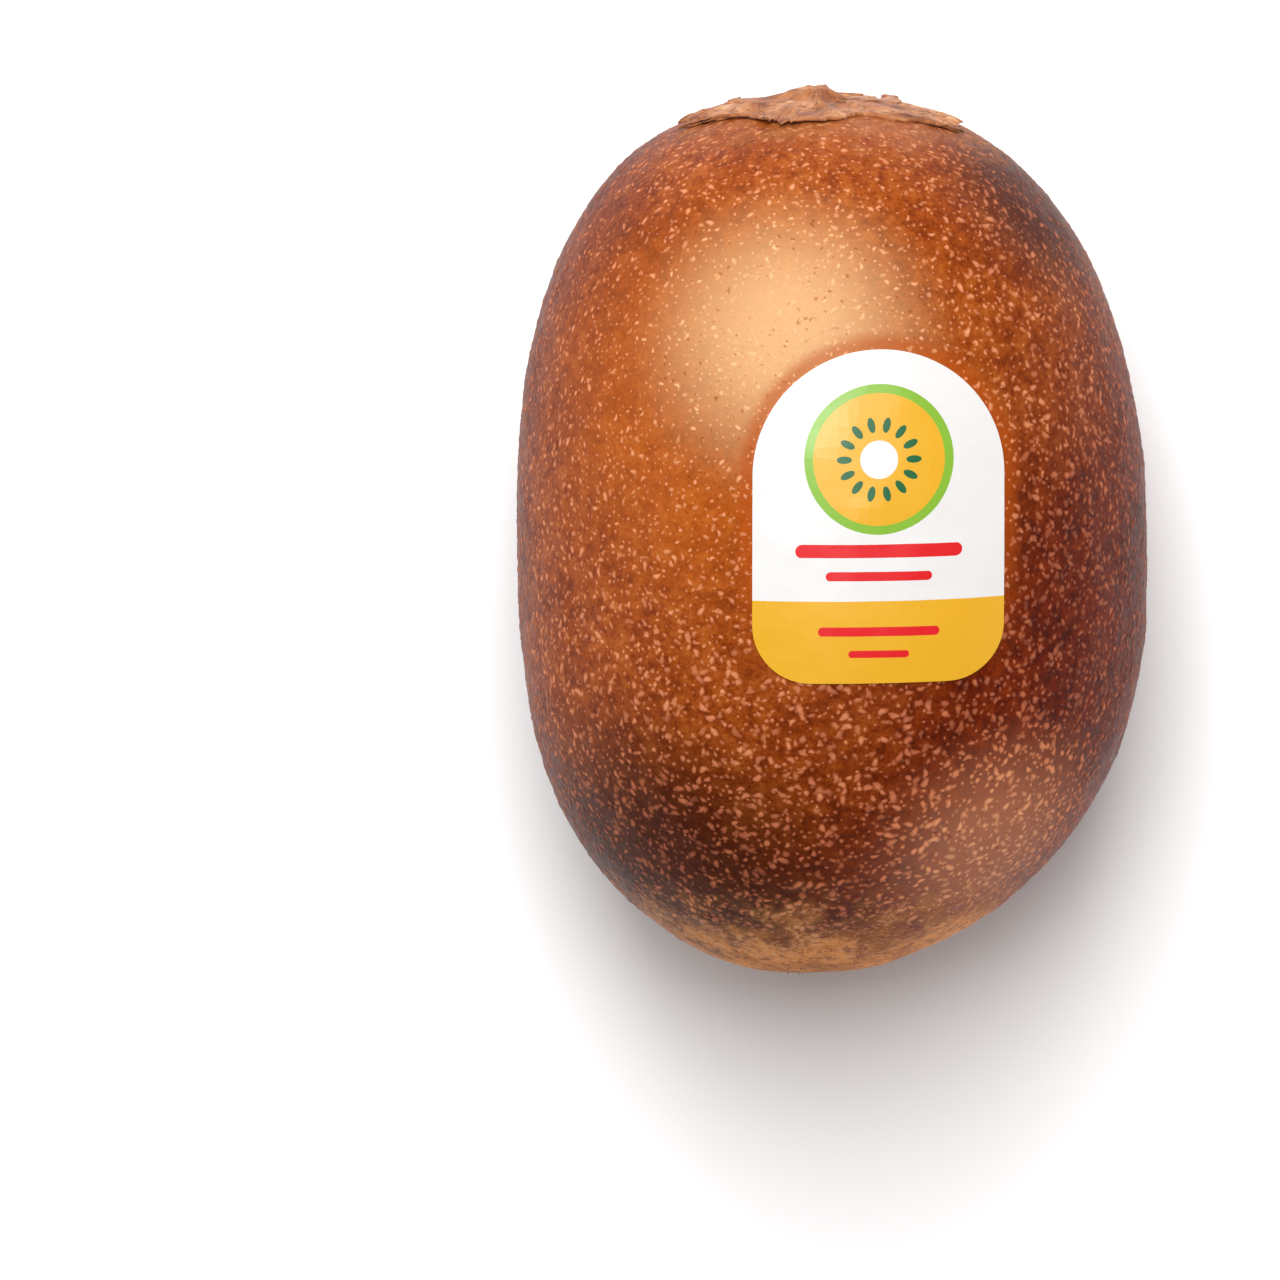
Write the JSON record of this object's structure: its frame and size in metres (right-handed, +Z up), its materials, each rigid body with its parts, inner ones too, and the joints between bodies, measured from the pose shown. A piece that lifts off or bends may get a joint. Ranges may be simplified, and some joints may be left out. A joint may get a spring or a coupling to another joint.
{
  "type": "golden kiwi fruit",
  "caption": "Whole golden kiwi fruit lying on its side: smooth brown freckled skin, dried calyx at the stem end, dried style scar at the other end, and a plain round-topped paper label.",
  "frame": {"origin": "on the surface that the fruit lies on, under the middle of the fruit", "axes": "+Y along the fruit towards its stem end, +Z up through the label, +X across the fruit"},
  "size_m": [0.0512, 0.0722, 0.0497],
  "materials": {
    "skin": "smooth thin fruit skin, satin, freckled with raised pale lenticels",
    "dried_calyx": "dry papery sepals and a woody stalk scar, matt",
    "dried_styles": "dark dry fibres, matt",
    "label": "coated white label paper with flat printed colours, satin"
  },
  "bodies": {
    "root": {"fruit": "skin", "dried_calyx": "dried_calyx", "dried_styles": "dried_styles", "label": "label"}
  },
  "joints": []
}
